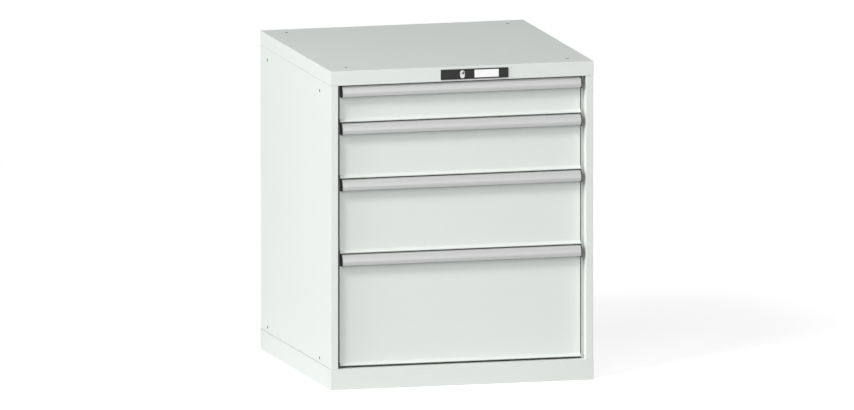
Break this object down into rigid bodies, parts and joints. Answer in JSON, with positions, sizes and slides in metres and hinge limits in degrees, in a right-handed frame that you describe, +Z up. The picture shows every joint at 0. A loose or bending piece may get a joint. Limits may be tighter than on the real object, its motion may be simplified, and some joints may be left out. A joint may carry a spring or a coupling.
{
  "type": "drawer cabinet",
  "caption": "Free-standing steel cabinet with full-width drawers on roller slides, aluminium grip handles, a plain plinth and a central lock in its top cover.",
  "frame": {"origin": "middle of the overall box at floor level", "axes": "+Z up, the drawers open towards -Y, +X to the right seen from the front"},
  "size_m": [0.717, 0.728, 0.85],
  "materials": {
    "housing_paint": "light grey powder coat, fine texture, satin",
    "tray_paint": "light grey powder coat, satin",
    "inner_steel": "light grey powder coat inside the housing",
    "handle_aluminium": "natural anodised, matt",
    "cap_black": "black moulded plastic, matt",
    "lock_black": "black moulded plastic, fine texture",
    "label_white": "plain white card",
    "lock_metal": "satin nickel plate",
    "zinc_steel": "zinc plated steel",
    "rail_steel": "zinc plated steel",
    "screw_steel": "zinc plated steel",
    "roller_plastic": "natural nylon"
  },
  "bodies": {
    "housing": {"back_panel": "housing_paint", "base_plinth": "housing_paint", "bottom_panel": "inner_steel", "column_front_left": "inner_steel", "column_front_right": "inner_steel", "column_rear_left": "inner_steel", "column_rear_right": "inner_steel", "housing_screws": "screw_steel", "label_card": "label_white", "lock_bar_guides": "zinc_steel", "lock_crossmember": "inner_steel", "lock_cylinder": "lock_metal", "lock_strip": "lock_black", "side_panel_left": "housing_paint", "side_panel_right": "housing_paint", "top_cover": "housing_paint", "drawer_1_cabinet_rails": "rail_steel", "drawer_2_cabinet_rails": "rail_steel", "drawer_3_cabinet_rails": "rail_steel", "drawer_4_cabinet_rails": "rail_steel"},
    "drawer_1": {"drawer_1_tray": "tray_paint", "drawer_1_front": "housing_paint", "drawer_1_handle": "handle_aluminium", "drawer_1_handle_caps": "cap_black", "drawer_1_rails": "rail_steel"},
    "drawer_1_carriage": {"drawer_1_carriages": "rail_steel"},
    "drawer_1_rollers_front": {"drawer_1_rollers_front": "roller_plastic"},
    "drawer_1_rollers_middle": {"drawer_1_rollers_middle": "roller_plastic"},
    "drawer_1_rollers_rear": {"drawer_1_rollers_rear": "roller_plastic"},
    "drawer_2": {"drawer_2_tray": "tray_paint", "drawer_2_front": "housing_paint", "drawer_2_handle": "handle_aluminium", "drawer_2_handle_caps": "cap_black", "drawer_2_rails": "rail_steel"},
    "drawer_2_carriage": {"drawer_2_carriages": "rail_steel"},
    "drawer_2_rollers_front": {"drawer_2_rollers_front": "roller_plastic"},
    "drawer_2_rollers_middle": {"drawer_2_rollers_middle": "roller_plastic"},
    "drawer_2_rollers_rear": {"drawer_2_rollers_rear": "roller_plastic"},
    "drawer_3": {"drawer_3_tray": "tray_paint", "drawer_3_front": "housing_paint", "drawer_3_handle": "handle_aluminium", "drawer_3_handle_caps": "cap_black", "drawer_3_rails": "rail_steel"},
    "drawer_3_carriage": {"drawer_3_carriages": "rail_steel"},
    "drawer_3_rollers_front": {"drawer_3_rollers_front": "roller_plastic"},
    "drawer_3_rollers_middle": {"drawer_3_rollers_middle": "roller_plastic"},
    "drawer_3_rollers_rear": {"drawer_3_rollers_rear": "roller_plastic"},
    "drawer_4": {"drawer_4_tray": "tray_paint", "drawer_4_front": "housing_paint", "drawer_4_handle": "handle_aluminium", "drawer_4_handle_caps": "cap_black", "drawer_4_rails": "rail_steel"},
    "drawer_4_carriage": {"drawer_4_carriages": "rail_steel"},
    "drawer_4_rollers_front": {"drawer_4_rollers_front": "roller_plastic"},
    "drawer_4_rollers_middle": {"drawer_4_rollers_middle": "roller_plastic"},
    "drawer_4_rollers_rear": {"drawer_4_rollers_rear": "roller_plastic"},
    "lock_plug": {"lock_plug": "lock_metal", "lock_cam": "zinc_steel"},
    "lock_link": {"lock_link": "zinc_steel"},
    "lock_bar": {"lock_bar": "zinc_steel"}
  },
  "joints": [
    {"name": "drawer_1_slide", "type": "slide", "parent": "housing", "child": "drawer_1", "axis": [0, -1, 0], "range_m": [0, 0.61]},
    {"name": "drawer_1_carriage_slide", "type": "slide", "parent": "housing", "child": "drawer_1_carriage", "axis": [0, -1, 0], "range_m": [0, 0.305]},
    {"name": "drawer_1_rollers_front_spin", "type": "hinge", "parent": "drawer_1_carriage", "child": "drawer_1_rollers_front", "pos_m": [0, -0.285, 0.7455], "axis": [1, 0, 0], "range_deg": [0, 1633.7]},
    {"name": "drawer_1_rollers_middle_spin", "type": "hinge", "parent": "drawer_1_carriage", "child": "drawer_1_rollers_middle", "pos_m": [0, 0.014, 0.7455], "axis": [1, 0, 0], "range_deg": [0, 1633.7]},
    {"name": "drawer_1_rollers_rear_spin", "type": "hinge", "parent": "drawer_1_carriage", "child": "drawer_1_rollers_rear", "pos_m": [0, 0.313, 0.7455], "axis": [1, 0, 0], "range_deg": [0, 1633.7]},
    {"name": "drawer_2_slide", "type": "slide", "parent": "housing", "child": "drawer_2", "axis": [0, -1, 0], "range_m": [0, 0.61]},
    {"name": "drawer_2_carriage_slide", "type": "slide", "parent": "housing", "child": "drawer_2_carriage", "axis": [0, -1, 0], "range_m": [0, 0.305]},
    {"name": "drawer_2_rollers_front_spin", "type": "hinge", "parent": "drawer_2_carriage", "child": "drawer_2_rollers_front", "pos_m": [0, -0.285, 0.5955], "axis": [1, 0, 0], "range_deg": [0, 1633.7]},
    {"name": "drawer_2_rollers_middle_spin", "type": "hinge", "parent": "drawer_2_carriage", "child": "drawer_2_rollers_middle", "pos_m": [0, 0.014, 0.5955], "axis": [1, 0, 0], "range_deg": [0, 1633.7]},
    {"name": "drawer_2_rollers_rear_spin", "type": "hinge", "parent": "drawer_2_carriage", "child": "drawer_2_rollers_rear", "pos_m": [0, 0.313, 0.5955], "axis": [1, 0, 0], "range_deg": [0, 1633.7]},
    {"name": "drawer_3_slide", "type": "slide", "parent": "housing", "child": "drawer_3", "axis": [0, -1, 0], "range_m": [0, 0.61]},
    {"name": "drawer_3_carriage_slide", "type": "slide", "parent": "housing", "child": "drawer_3_carriage", "axis": [0, -1, 0], "range_m": [0, 0.305]},
    {"name": "drawer_3_rollers_front_spin", "type": "hinge", "parent": "drawer_3_carriage", "child": "drawer_3_rollers_front", "pos_m": [0, -0.285, 0.3955], "axis": [1, 0, 0], "range_deg": [0, 1633.7]},
    {"name": "drawer_3_rollers_middle_spin", "type": "hinge", "parent": "drawer_3_carriage", "child": "drawer_3_rollers_middle", "pos_m": [0, 0.014, 0.3955], "axis": [1, 0, 0], "range_deg": [0, 1633.7]},
    {"name": "drawer_3_rollers_rear_spin", "type": "hinge", "parent": "drawer_3_carriage", "child": "drawer_3_rollers_rear", "pos_m": [0, 0.313, 0.3955], "axis": [1, 0, 0], "range_deg": [0, 1633.7]},
    {"name": "drawer_4_slide", "type": "slide", "parent": "housing", "child": "drawer_4", "axis": [0, -1, 0], "range_m": [0, 0.61]},
    {"name": "drawer_4_carriage_slide", "type": "slide", "parent": "housing", "child": "drawer_4_carriage", "axis": [0, -1, 0], "range_m": [0, 0.305]},
    {"name": "drawer_4_rollers_front_spin", "type": "hinge", "parent": "drawer_4_carriage", "child": "drawer_4_rollers_front", "pos_m": [0, -0.285, 0.0955], "axis": [1, 0, 0], "range_deg": [0, 1633.7]},
    {"name": "drawer_4_rollers_middle_spin", "type": "hinge", "parent": "drawer_4_carriage", "child": "drawer_4_rollers_middle", "pos_m": [0, 0.014, 0.0955], "axis": [1, 0, 0], "range_deg": [0, 1633.7]},
    {"name": "drawer_4_rollers_rear_spin", "type": "hinge", "parent": "drawer_4_carriage", "child": "drawer_4_rollers_rear", "pos_m": [0, 0.313, 0.0955], "axis": [1, 0, 0], "range_deg": [0, 1633.7]},
    {"name": "lock_bar_lift", "type": "slide", "parent": "housing", "child": "lock_bar", "axis": [0, 0, 1], "range_m": [0, 0.01697]},
    {"name": "lock_link_slide", "type": "slide", "parent": "housing", "child": "lock_link", "axis": [-1, 0, 0], "range_m": [0, 0.01697]},
    {"name": "lock_turn", "type": "hinge", "parent": "housing", "child": "lock_plug", "pos_m": [0, -0.361, 0.83355], "axis": [0, 1, 0], "range_deg": [0, 90]}
  ],
  "couplings": [
    {"joint": "drawer_1_carriage_slide", "follows": "drawer_1_slide", "ratio": 0.5},
    {"joint": "drawer_1_rollers_front_spin", "follows": "drawer_1_slide", "rad_per_m": 46.729},
    {"joint": "drawer_1_rollers_middle_spin", "follows": "drawer_1_slide", "rad_per_m": 46.729},
    {"joint": "drawer_1_rollers_rear_spin", "follows": "drawer_1_slide", "rad_per_m": 46.729},
    {"joint": "drawer_2_carriage_slide", "follows": "drawer_2_slide", "ratio": 0.5},
    {"joint": "drawer_2_rollers_front_spin", "follows": "drawer_2_slide", "rad_per_m": 46.729},
    {"joint": "drawer_2_rollers_middle_spin", "follows": "drawer_2_slide", "rad_per_m": 46.729},
    {"joint": "drawer_2_rollers_rear_spin", "follows": "drawer_2_slide", "rad_per_m": 46.729},
    {"joint": "drawer_3_carriage_slide", "follows": "drawer_3_slide", "ratio": 0.5},
    {"joint": "drawer_3_rollers_front_spin", "follows": "drawer_3_slide", "rad_per_m": 46.729},
    {"joint": "drawer_3_rollers_middle_spin", "follows": "drawer_3_slide", "rad_per_m": 46.729},
    {"joint": "drawer_3_rollers_rear_spin", "follows": "drawer_3_slide", "rad_per_m": 46.729},
    {"joint": "drawer_4_carriage_slide", "follows": "drawer_4_slide", "ratio": 0.5},
    {"joint": "drawer_4_rollers_front_spin", "follows": "drawer_4_slide", "rad_per_m": 46.729},
    {"joint": "drawer_4_rollers_middle_spin", "follows": "drawer_4_slide", "rad_per_m": 46.729},
    {"joint": "drawer_4_rollers_rear_spin", "follows": "drawer_4_slide", "rad_per_m": 46.729},
    {"joint": "lock_link_slide", "follows": "lock_bar_lift", "ratio": 1},
    {"joint": "lock_turn", "follows": "lock_bar_lift", "rad_per_m": 92.56}
  ]
}
